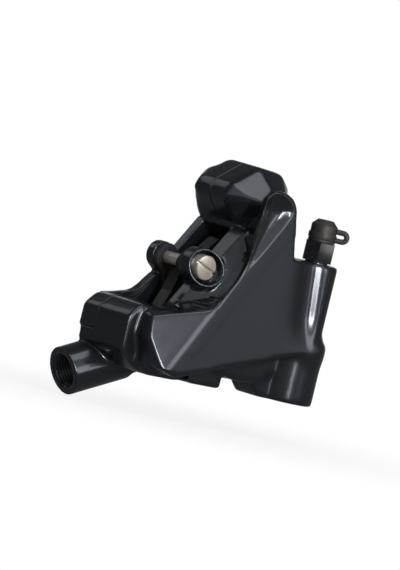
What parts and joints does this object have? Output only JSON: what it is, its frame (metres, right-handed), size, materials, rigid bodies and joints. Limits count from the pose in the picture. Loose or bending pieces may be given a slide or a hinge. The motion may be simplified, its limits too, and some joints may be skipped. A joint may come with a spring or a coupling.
{
  "type": "bicycle disc brake caliper",
  "caption": "Flat-mount hydraulic disc brake caliper in two bolted halves, with opposed pistons, pads on a slotted axle, bleed nipple with tethered cap and a hose port.",
  "frame": {"origin": "midway between the two frame threads, on the mounting face", "axes": "+X forward along the frame tube that carries the caliper, +Y outboard from the wheel, +Z away from the frame tube"},
  "size_m": [0.0663, 0.0363, 0.0642],
  "materials": {
    "body_paint": "semi-gloss",
    "bolt_steel": "blackened",
    "axle_nickel": "satin",
    "spring_steel": "satin",
    "seal_rubber": "matte",
    "piston_ceramic": "satin",
    "pad_steel": "matte",
    "pad_lining": "matte",
    "nipple_black": "gloss",
    "cap_rubber": "satin"
  },
  "bodies": {
    "caliper": {"outboard_body": "body_paint", "inboard_body": "body_paint", "body_bolts": "bolt_steel", "passage_seal": "seal_rubber", "outboard_piston_seal": "seal_rubber", "inboard_piston_seal": "seal_rubber", "pad_spring": "spring_steel", "pad_axle": "axle_nickel", "axle_clip": "spring_steel"},
    "outboard_piston": {"outboard_piston": "piston_ceramic"},
    "inboard_piston": {"inboard_piston": "piston_ceramic"},
    "outboard_pad": {"outboard_pad_plate": "pad_steel", "outboard_pad_lining": "pad_lining"},
    "inboard_pad": {"inboard_pad_plate": "pad_steel", "inboard_pad_lining": "pad_lining"},
    "bleed_screw": {"bleed_nipple": "nipple_black", "tether_ring": "cap_rubber", "cap_tether": "cap_rubber"},
    "bleed_cap": {"bleed_cap": "cap_rubber"}
  },
  "joints": [
    {"name": "outboard_piston_slide", "type": "slide", "parent": "caliper", "child": "outboard_piston", "axis": [0, -1, 0], "range_m": [0, 0.00125]},
    {"name": "inboard_piston_slide", "type": "slide", "parent": "caliper", "child": "inboard_piston", "axis": [0, 1, 0], "range_m": [0, 0.00125]},
    {"name": "outboard_pad_slide", "type": "slide", "parent": "caliper", "child": "outboard_pad", "axis": [0, -1, 0], "range_m": [0, 0.00125]},
    {"name": "inboard_pad_slide", "type": "slide", "parent": "caliper", "child": "inboard_pad", "axis": [0, 1, 0], "range_m": [0, 0.00125]},
    {"name": "bleed_screw_turn", "type": "hinge", "parent": "caliper", "child": "bleed_screw", "pos_m": [-0.0172, 0.0009, 0.0348], "axis": [0, 0, 1], "range_deg": [0, 90]},
    {"name": "bleed_cap_pull", "type": "slide", "parent": "bleed_screw", "child": "bleed_cap", "axis": [0, 0, 1], "range_m": [0, 0.006], "deforming": ["cap_tether"]}
  ],
  "couplings": [
    {"joint": "inboard_piston_slide", "follows": "outboard_piston_slide", "ratio": 1},
    {"joint": "outboard_pad_slide", "follows": "outboard_piston_slide", "ratio": 1},
    {"joint": "inboard_pad_slide", "follows": "outboard_piston_slide", "ratio": 1}
  ]
}
